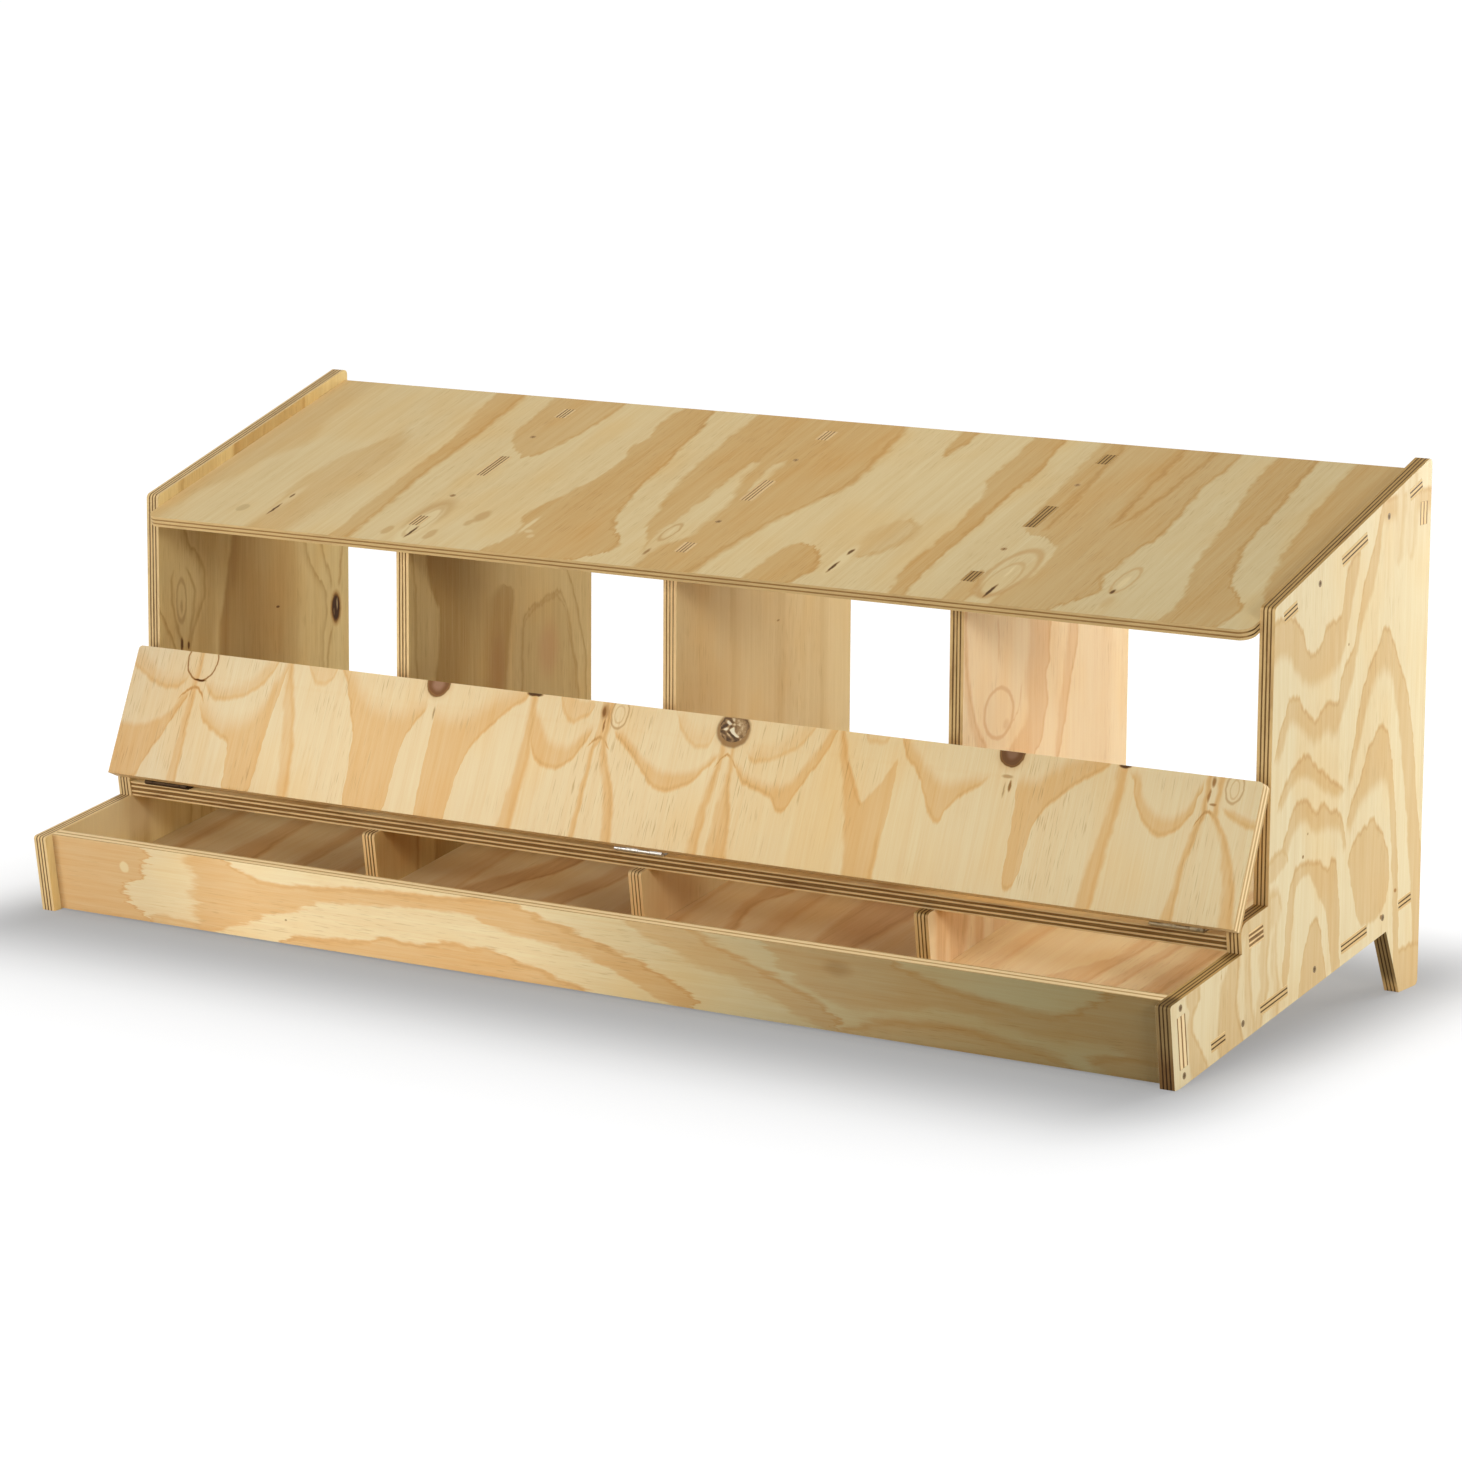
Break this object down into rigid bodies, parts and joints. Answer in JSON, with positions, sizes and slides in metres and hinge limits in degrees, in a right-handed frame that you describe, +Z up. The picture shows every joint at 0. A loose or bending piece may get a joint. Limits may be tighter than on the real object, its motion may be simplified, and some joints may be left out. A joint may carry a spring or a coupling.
{
  "type": "chicken nesting box",
  "caption": "Plywood nesting box for hens: a row of open nests under a sloping roof, with a tilted floor that rolls eggs into a front tray under a hinged lid.",
  "frame": {"origin": "middle of the bounding box, on the ground", "axes": "+X along the box, to the right when facing its open side, +Y from the egg tray to the back, +Z up"},
  "size_m": [1.2, 0.466, 0.4696],
  "materials": {
    "plywood": "bare sanded softwood plywood, knots and wavy grain",
    "thin_plywood": "bare sanded softwood plywood, wavy grain",
    "hinge_steel": "zinc-plated pressed steel",
    "screw_steel": "dark phosphated steel"
  },
  "bodies": {
    "frame": {"side_panel_left": "plywood", "side_panel_right": "plywood", "front_board": "plywood", "hinge_rail": "plywood", "back_rail": "plywood", "divider_left": "plywood", "divider_middle": "plywood", "divider_right": "plywood", "floor_panel": "thin_plywood", "roof_panel": "thin_plywood", "hinge_left_pin": "hinge_steel", "hinge_middle_pin": "hinge_steel", "hinge_right_pin": "hinge_steel", "hinge_left_rail_leaf": "hinge_steel", "hinge_middle_rail_leaf": "hinge_steel", "hinge_right_rail_leaf": "hinge_steel", "front_board_screws": "screw_steel", "floor_end_screws": "screw_steel", "roof_end_screws": "screw_steel", "roof_divider_screws": "screw_steel", "floor_divider_screws": "screw_steel", "hinge_rail_screws": "screw_steel"},
    "lid": {"tray_lid": "plywood", "hinge_lid_screws": "screw_steel", "hinge_left_lid_leaf": "hinge_steel", "hinge_middle_lid_leaf": "hinge_steel", "hinge_right_lid_leaf": "hinge_steel"}
  },
  "joints": [
    {"name": "lid_hinge", "type": "hinge", "parent": "frame", "child": "lid", "pos_m": [0, -0.11057, 0.10827], "axis": [1, 0, 0], "range_deg": [0, 121.9]}
  ]
}
